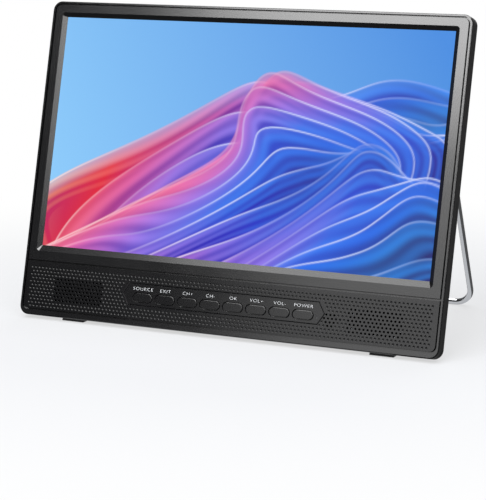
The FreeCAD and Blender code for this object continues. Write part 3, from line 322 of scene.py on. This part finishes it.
# Steps count pitches from the middle. Odd rows have their holes at whole steps, and even ones between.
half_steps = np.arange(-LAST_STEP, LAST_STEP + 0.5, 0.5)
step, row = (grid.ravel() for grid in np.meshgrid(half_steps, np.arange(ROWS), indexing="ij"))
on_grid = (step % 1 == 0) == (row % 2 == 1)
hole_x, hole_u = step * HOLE_PITCH, TOP_ROW - row * ROW_PITCH
field_slant = (FIELD_TIP - FIELD_CORNER) * np.abs(hole_u - FIELD_MIDDLE) / FIELD_HALF
field_reach = FIELD_TIP + FIELD_MARGIN - field_slant
in_field = (np.abs(hole_u - FIELD_MIDDLE) < FIELD_HALF + FIELD_MARGIN) & (np.abs(hole_x) < field_reach)
shown = on_grid & ~in_field & (np.abs(hole_x) < LAST_HOLE)
over_speaker = (row >= SPEAKER_ROWS[0]) & (row <= SPEAKER_ROWS[1])
over_speaker &= (np.abs(step) >= SPEAKER_STEPS[0]) & (np.abs(step) <= SPEAKER_STEPS[1])
# The receiver's group has 3, 5, 3 and 2 holes in its rows. The second row sits half a pitch further out.
receiver_half = np.select([row == 5, row == 6, row == 7, row == 8], [1, 2, 1, 0.5], -1)
receiver_middle = np.where(row == 6, RECEIVER_STEP + 0.5, RECEIVER_STEP)
over_receiver = (np.abs(step - receiver_middle) <= receiver_half) & (step > 0)
pierced = shown & (over_speaker | over_receiver)
centres = np.stack((hole_x, hole_u), axis=-1)
pierced_centres, blind_centres = centres[pierced], centres[shown & ~pierced]


def fill(loops, open_loops, band=()):
    """Triangles of the flat area between closed loops. One with all its corners on one open loop lies in
    a hole, and one that touches both loops of a band lies in the groove between them."""
    lengths = [len(loop) for loop in loops]
    ends = np.cumsum(lengths)
    label = np.repeat(np.arange(len(loops)), lengths)
    following = np.arange(ends[-1]) + 1
    following[ends - 1] = ends - lengths
    edges = np.stack((np.arange(ends[-1]), following), axis=1)
    points = [Vector(point) for point in np.concatenate(loops).tolist()]
    result = delaunay_2d_cdt(points, edges.tolist(), [], 0, 1e-6)
    source = np.array([found[0] for found in result[3]])
    triangles = source[np.array(result[2])]
    corners = label[triangles]
    in_hole = (corners == corners[:, :1]).all(axis=1) & np.isin(corners[:, 0], open_loops)
    if band:
        in_hole |= (corners == band[0]).any(axis=1) & (corners == band[1]).any(axis=1)
    return triangles[~in_hole]


def bands(first, second, count, sides):
    """Quads between two rows of rings, each ring joined to the one below it. Seen from the front, the
    rings run anticlockwise and the faces look into the ring."""
    ring = np.arange(count)[:, None] * sides
    point = np.arange(sides)[None, :]
    following = (point + 1) % sides
    upper, lower = first + ring, second + ring
    quads = (upper + point, upper + following, lower + following, lower + point)
    return np.stack(quads, axis=-1).reshape(-1, 4)


# The first three loops are the panel's edge and the two sides of the score. The openings follow: keys,
# status light, through holes and blind dimples.
front_loops = [panel_edge(EDGE_ROUND), field_edge(SCORE_HALF), field_edge(-SCORE_HALF)]
first_key = len(front_loops)
front_loops += [key_edge(centre, KEY_BREAK) for centre in KEY_PLACES]
light = len(front_loops)
front_loops += list(circles(np.array([LIGHT_PLACE]), LIGHT_RADIUS))
front_loops += list(circles(pierced_centres, HOLE_RADIUS))
first_blind = len(front_loops)
front_loops += list(circles(blind_centres, HOLE_RADIUS))
starts = np.cumsum([0] + [len(loop) for loop in front_loops])
edge_sides, field_sides, key_sides = (len(front_loops[place]) for place in (0, 1, first_key))
front_points = np.concatenate(front_loops)
panel_points = [on_face(front_points[:, 0], front_points[:, 1], 0.0)]
panel_faces = fill(front_loops, np.arange(first_key, len(front_loops)), band=(1, 2)).tolist()


def add_rings(flat_points, depth):
    """Adds rings of points at a depth behind the face, and returns the number of the first one."""
    first = sum(len(points) for points in panel_points)
    flat_points = flat_points.reshape(-1, 2)
    panel_points.append(on_face(flat_points[:, 0], flat_points[:, 1], depth))
    return first


edge_turn = np.radians((30, 60, 90))
last_edge = 0
for angle in edge_turn:
    inset, depth = EDGE_ROUND * (1 - math.sin(angle)), EDGE_ROUND * (1 - math.cos(angle))
    next_edge = add_rings(panel_edge(inset), depth)
    panel_faces += bands(last_edge, next_edge, 1, edge_sides)[:, ::-1].tolist()
    last_edge = next_edge
back_edge = add_rings(panel_edge(0), PANEL_THICK)
panel_faces += bands(last_edge, back_edge, 1, edge_sides)[:, ::-1].tolist()
score = add_rings(field_edge(0), SCORE_DEPTH)
panel_faces += bands(starts[1], score, 1, field_sides).tolist()
panel_faces += bands(score, starts[2], 1, field_sides).tolist()
key_edges = [key_edge(centre, 0) for centre in KEY_PLACES]
key_front = add_rings(np.array(key_edges), KEY_BREAK)
key_back = add_rings(np.array(key_edges), PANEL_THICK)
panel_faces += bands(starts[first_key], key_front, len(key_edges), key_sides).tolist()
panel_faces += bands(key_front, key_back, len(key_edges), key_sides).tolist()
bored = np.concatenate((np.array([LIGHT_PLACE]), pierced_centres))
bored_sizes = np.array([LIGHT_RADIUS] + [HOLE_RADIUS] * len(pierced_centres))[:, None, None]
bored_front = add_rings(circles(bored, bored_sizes - RIM_BREAK), RIM_BREAK)
bored_back = add_rings(circles(bored, bored_sizes - RIM_BREAK), PANEL_THICK)
panel_faces += bands(starts[light], bored_front, len(bored), HOLE_SIDES).tolist()
panel_faces += bands(bored_front, bored_back, len(bored), HOLE_SIDES).tolist()
blind_rim = add_rings(circles(blind_centres, HOLE_RADIUS - RIM_BREAK), RIM_BREAK)
blind_floor = add_rings(circles(blind_centres, DIMPLE_FLOOR), DIMPLE_DEPTH)
panel_faces += bands(starts[first_blind], blind_rim, len(blind_centres), HOLE_SIDES).tolist()
panel_faces += bands(blind_rim, blind_floor, len(blind_centres), HOLE_SIDES).tolist()
panel_faces += (blind_floor + np.arange(len(blind_centres) * HOLE_SIDES).reshape(-1, HOLE_SIDES)).tolist()
back_loops = [panel_edge(0)] + key_edges + list(circles(bored, bored_sizes - RIM_BREAK))
back_numbers = np.concatenate(
    (
        back_edge + np.arange(edge_sides),
        key_back + np.arange(len(key_edges) * key_sides),
        bored_back + np.arange(len(bored) * HOLE_SIDES),
    )
)
back_triangles = back_numbers[fill(back_loops, np.arange(1, len(back_loops)))]
panel_faces += back_triangles[:, ::-1].tolist()


# Cosine of the angle within which a facet counts as parallel to the face.
PARALLEL = 0.9999


def new_piece(name, points, faces, material, smooth_degrees=30):
    """Makes a mesh piece that rides on the set. It is smooth except where it turns sharply and where it
    lies parallel to the face."""
    mesh = bpy.data.meshes.new(name)
    mesh.from_pydata(points.tolist(), [], faces)
    mesh.set_sharp_from_angle(angle=math.radians(smooth_degrees))
    normals = np.empty(len(mesh.polygons) * 3)
    mesh.polygons.foreach_get("normal", normals)
    outwards = np.array([0, -math.cos(LEAN), math.sin(LEAN)])
    curved = np.abs(normals.reshape(-1, 3) @ outwards) < PARALLEL
    mesh.polygons.foreach_set("use_smooth", curved)
    mesh.materials.append(material)
    piece = bpy.data.objects.new(name, mesh)
    bpy.context.scene.collection.objects.link(piece)
    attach(piece, "set")
    return piece


# The same resin as the bezel's, from a tool with a finer grain, so it shines a little less.
grained_abs = finish_of(
    "grained_black_abs", "#040405", "#060607", 0.18, 0.012, 0.7, 0.001, {"Specular IOR Level": 0.34}
)
dimpled_panel = new_piece(
    "dimpled_speaker_panel", np.concatenate(panel_points), panel_faces, grained_abs
)
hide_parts("speaker_panel")

# ---- key legends -----------------------------------------------------------------------------------
# Plain function words pad-printed in pale grey above the keys, two hundredths of a millimetre thick.

LEGENDS = ("SOURCE", "EXIT", "CH+", "CH-", "OK", "VOL+", "VOL-", "POWER")
LEGEND_SIZE, LEGEND_WIDEN, LEGEND_LINE, INK = 2.85, 1.2, 22.75, 0.02
LEGEND_SPACING, LEGEND_THINNING = 1.14, -0.07
legend_points, legend_faces, legend_count = [], [], 0
for centre, word in zip(KEY_PLACES, LEGENDS):
    letters = bpy.data.curves.new(word, "FONT")
    letters.body, letters.size, letters.align_x = word, LEGEND_SIZE, "CENTER"
    letters.space_character, letters.offset = LEGEND_SPACING, LEGEND_THINNING
    holder = bpy.data.objects.new(word, letters)
    flat = bpy.data.meshes.new_from_object(holder)
    corners = np.empty(len(flat.vertices) * 3)
    flat.vertices.foreach_get("co", corners)
    corners = corners.reshape(-1, 3)
    legend_points.append(
        on_face(centre + LEGEND_WIDEN * corners[:, 0], LEGEND_LINE + corners[:, 1], -INK)
    )
    legend_faces += [[legend_count + corner for corner in face.vertices] for face in flat.polygons]
    legend_count += len(corners)
    bpy.data.objects.remove(holder)
ink = finish_of("pale_grey_pad_print", "#B4B6B8", "#A8AAAD", 0.45, 0.03, 0.3, 0.002, {})
legends = new_piece("key_legends", np.concatenate(legend_points), legend_faces, ink)
thickness = legends.modifiers.new("ink_thickness", "SOLIDIFY")
thickness.thickness, thickness.offset = INK / 1000, -1

# ---- keys ------------------------------------------------------------------------------------------
# Eight ABS key caps, each free to be pushed against its switch. Fingers polish them, so they shine a
# little more than the panel round them.

KEYS = ("source", "exit", "channel_up", "channel_down", "ok", "volume_up", "volume_down", "power")
key_abs = finish_of(
    "polished_black_abs", "#040405", "#060607", 0.17, 0.012, 0.8, 0.001, {"Specular IOR Level": 0.36}
)
dress(key_abs, *["key_" + key for key in KEYS])

# ---- display ---------------------------------------------------------------------------------------
# A liquid crystal cell behind a matt front film. What it shows is an abstract made for this set: thin
# sheets of silk that lie over each other, coral and pink on the left and blue on the right, under a sky.

PICTURE_HALF, PICTURE_LOW, PICTURE_HIGH, PICTURE_DEPTH = 132.84, 45.58, 195.02, 2.05
COLUMNS, LINES, WIDE = 400, 226, 1.777
across, up = np.meshgrid(np.linspace(-WIDE, WIDE, COLUMNS), np.linspace(-1, 1, LINES))
DOT = 2 / LINES
SKY_LOW, SKY_HIGH = np.array(linear("#8CCBFA")[:3]), np.array(linear("#3585DC")[:3])
sky = np.clip(0.5 + 0.22 * across + 0.14 * up, 0, 1)[..., None]
picture = SKY_LOW + (SKY_HIGH - SKY_LOW) * sky


def colours_along(colours, value):
    """Colours from a row of them: a whole value picks one, and one in between mixes its neighbours."""
    row = np.array([linear(colour)[:3] for colour in colours])
    value = np.clip(value, 0, len(row) - 1.001)
    low = value.astype(int)
    return row[low] + (row[low + 1] - row[low]) * (value - low)[..., None]


SILK_DARKS = ("#A8186A", "#DC0A30", "#8C0E84", "#2A12AC", "#0416C0", "#021290", "#02146E")
SILK_LIGHTS = ("#FFB070", "#FF7E74", "#FF74B4", "#B48CFF", "#3C8CFF", "#0F74FA", "#1E96FF")
SHEETS, CREST_TOP, CREST_DROP, CREST_FALL = 24, 0.86, 1.7, 0.38


def lay_sheet(under, share):
    """Lays one sheet of silk over what is under it, from the back one (share 0) to the front one (share 1).
    Its upper edge is a crest bent by slow waves. With the depth under that edge, the colour goes from
    light through narrow pleats to dark. Near the edge the sheets behind show through, and the edge itself
    is a fine pale line. The colours run from left to right, and a little with the height."""
    bent_x = across + 0.45 * np.sin(2.2 * up + 3.0 * share + 3.4) + 0.14 * np.sin(4.7 * up - 1.9 * across)
    bent_y = up + 0.34 * np.sin(1.7 * bent_x - 5.0 * share) + 0.08 * np.sin(5.3 * bent_x + 11 * share)
    place = 1.0 - 0.9 * share + 0.8 * np.sin(9.5 * share)
    below = CREST_TOP - CREST_DROP * share - CREST_FALL * np.abs(bent_x - place) ** 1.7 - bent_y
    depth = below / np.clip(np.hypot(*np.gradient(below, DOT)), 0.6, 4)
    fall = np.clip(depth / (0.34 + 0.14 * np.sin(17 * share)), 0, 1)
    hue = 3 * (across / WIDE + 1) + np.sin(14 * share) - 0.8 * up - 0.2
    dark, light = colours_along(SILK_DARKS, hue), colours_along(SILK_LIGHTS, hue)
    pleats = 0.2 * np.sin(2 * np.pi * (3.2 * fall + 0.6 * np.sin(1.7 * across + 9 * share)))
    tone = np.clip(0.8 * (1 - fall) ** 2 + 0.03 + pleats * (1 - 0.5 * fall), 0, 1)
    colour = dark + (light - dark) * tone[..., None]
    edge = (0.62 + 0.3 * np.sin(2.6 * across + 13 * share)) * np.exp(-((depth / DOT - 1) ** 2))
    colour = colour + (light + (1 - light) * 0.65 - colour) * edge[..., None]
    cover = np.clip(depth / DOT + 0.5, 0, 1) * np.maximum(0.45 + 0.55 * np.clip(depth / 0.14, 0, 1), edge)
    return under + (colour - under) * cover[..., None]


for share in np.linspace(0, 1, SHEETS):
    picture = lay_sheet(picture, share)
picture = np.clip(picture, 0, 1)

column, line = np.meshgrid(np.arange(COLUMNS - 1), np.arange(LINES - 1))
corner = line * COLUMNS + column
picture_faces = np.stack((corner, corner + 1, corner + COLUMNS + 1, corner + COLUMNS), axis=-1)
picture_points = on_face(
    across / WIDE * PICTURE_HALF,
    PICTURE_LOW + (up + 1) / 2 * (PICTURE_HIGH - PICTURE_LOW),
    PICTURE_DEPTH,
)
# Lit liquid crystal film: it gives its own light, and its matt front hardly mirrors the room.
lit_film = bpy.data.materials.new("lit_matt_display_film")
lit_film.use_nodes = True
shader = lit_film.node_tree.nodes["Principled BSDF"]
for socket, value in {
    "Base Color": linear("#040506"),
    "Roughness": 0.5,
    "Specular IOR Level": 0.12,
    "Emission Strength": 1.0,
}.items():
    shader.inputs[socket].default_value = value
shown_colour = add_node(lit_film.node_tree, "Attribute", {"attribute_name": "shown"}, {})
lit_film.node_tree.links.new(shown_colour.outputs["Color"], shader.inputs["Emission Color"])
picture_faces = picture_faces.reshape(-1, 4).tolist()
display_film = new_piece("display_film", picture_points.reshape(-1, 3), picture_faces, lit_film)
shown_values = np.concatenate((picture, np.ones((LINES, COLUMNS, 1))), axis=-1)
shown_layer = display_film.data.attributes.new("shown", "FLOAT_COLOR", "POINT")
shown_layer.data.foreach_set("color", shown_values.astype(np.float32).ravel())

# Glass of the cell, black where it isn't lit.
cell_glass = finish_of("display_cell_glass", "#0A0B0D", "#0C0D10", 0.12, 0.01, 2.0, 0.0005, {"IOR": 1.52})
dress(cell_glass, "display_cell")

# ---- light guide, pan and brackets behind the display ----------------------------------------------
# A clear acrylic sheet lit from its edge, in a pressed steel pan held to the housing by steel brackets.

smoked_acrylic = finish_of("smoked_acrylic", "#0D0D0F", "#121215", 0.15, 0.01, 3.0, 0.0005, {"IOR": 1.49})
dress(smoked_acrylic, "status_light_pipe")
clear_settings = {"IOR": 1.49, "Transmission Weight": 0.9}
clear_acrylic = finish_of("clear_acrylic", "#E6EEF2", "#DDE7EC", 0.06, 0.01, 3.0, 0.0005, clear_settings)
dress(clear_acrylic, "light_guide")
zinc_steel = finish_of(
    "zinc_plated_sheet_steel", "#A9ADB3", "#8E939A", 0.32, 0.06, 0.6, 0.004, {"Metallic": 1.0}, (1, 1, 0.15)
)
dress(zinc_steel, "display_pan", "display_brackets", "tuner_can")

# ---- screws ----------------------------------------------------------------------------------------
# Small cross-head screws in blackened steel: a soft grey sheen.

blackened_steel = finish_of(
    "blackened_steel", "#3A3B3E", "#56575B", 0.38, 0.08, 0.4, 0.004, {"Metallic": 1.0}
)
dress(blackened_steel, "key_board_screws", "speaker_screws", "bracket_screws", "cover_screws")
dress(blackened_steel, "hinge_screws", "board_screws")

# ---- boards and what they carry --------------------------------------------------------------------
# Glass-epoxy boards under green lacquer, black moulded components, and a pressed aluminium heat sink.

lacquered_board = finish_of(
    "green_lacquered_board", "#0F4A2C", "#17613A", 0.28, 0.05, 1.2, 0.01, {"IOR": 1.55, "Coat Weight": 0.4}
)
dress(lacquered_board, "key_board", "main_board", "light_strip")
moulded_epoxy = finish_of("black_moulded_epoxy", "#141415", "#1D1D1F", 0.5, 0.06, 0.25, 0.006, {})
dress(moulded_epoxy, "tact_switches", "status_light", "infrared_receiver", "processor")
brushed_aluminium = finish_of(
    "brushed_aluminium", "#C8CBCF", "#B4B8BD", 0.3, 0.05, 0.3, 0.004, {"Metallic": 1.0}, (0.06, 1, 1)
)
dress(brushed_aluminium, "heat_sink")

# ---- loudspeakers ----------------------------------------------------------------------------------
# Oblong drivers behind the pierced fields: foam gasket, pressed basket, paper cone and ferrite magnet.

gasket_foam = finish_of("black_gasket_foam", "#111112", "#1C1C1E", 0.95, 0.03, 0.8, 0.15, {})
dress(gasket_foam, "speaker_gasket_left", "speaker_gasket_right")
dress(zinc_steel, "speaker_basket_left", "speaker_basket_right")
cone_paper = finish_of("pressed_cone_paper", "#0D0D0E", "#161617", 0.85, 0.05, 0.5, 0.05, {})
dress(cone_paper, "speaker_cone_left", "speaker_cone_right")
ferrite = finish_of("sintered_ferrite", "#26282B", "#34363A", 0.6, 0.06, 0.5, 0.02, {})
dress(ferrite, "speaker_magnet_left", "speaker_magnet_right")

# ---- battery ---------------------------------------------------------------------------------------
# Three round cells in blue shrink film, in a moulded tray.

shrink_film = finish_of(
    "blue_shrink_film", "#1D4F9C", "#2A62B4", 0.3, 0.05, 2.5, 0.03, {"Coat Weight": 0.3}
)
dress(shrink_film, "battery_cells")
dress(moulded_epoxy, "battery_tray")

# ---- rear cover and hinge blocks -------------------------------------------------------------------
# A deep ABS moulding with spark-eroded grain, so it stays a soft matt black and hides finger marks. The
# hinge blocks are moulded in the same resin.

eroded_abs = finish_of("spark_eroded_black_abs", "#0C0C0D", "#121213", 0.5, 0.03, 0.7, 0.02, {})
dress(eroded_abs, "rear_cover", "hinge_block_left", "hinge_block_right")

# ---- sockets ---------------------------------------------------------------------------------------
# Nickel-plated shells for the video, data and aerial sockets, and black moulded bodies for the jacks.

nickel = finish_of("nickel_plate", "#C9C5BC", "#B5B1A8", 0.2, 0.04, 0.6, 0.002, {"Metallic": 1.0})
dress(nickel, "video_socket", "usb_socket", "antenna_socket")
dress(moulded_epoxy, "audio_video_socket", "earphone_socket", "power_socket")

# ---- stand and feet --------------------------------------------------------------------------------
# One length of 4 mm steel wire, bent and then chrome plated: it mirrors the studio almost unblurred. The
# feet are wedges of soft black rubber.

chrome = finish_of("chrome_plated_wire", "#CBCDD0", "#C2C4C8", 0.05, 0.02, 3.0, 0.001, {"Metallic": 1.0})
dress(chrome, "stand_wire")
rubber = finish_of("moulded_black_rubber", "#131314", "#1B1B1C", 0.8, 0.05, 0.5, 0.02, {})
dress(rubber, "rubber_feet")
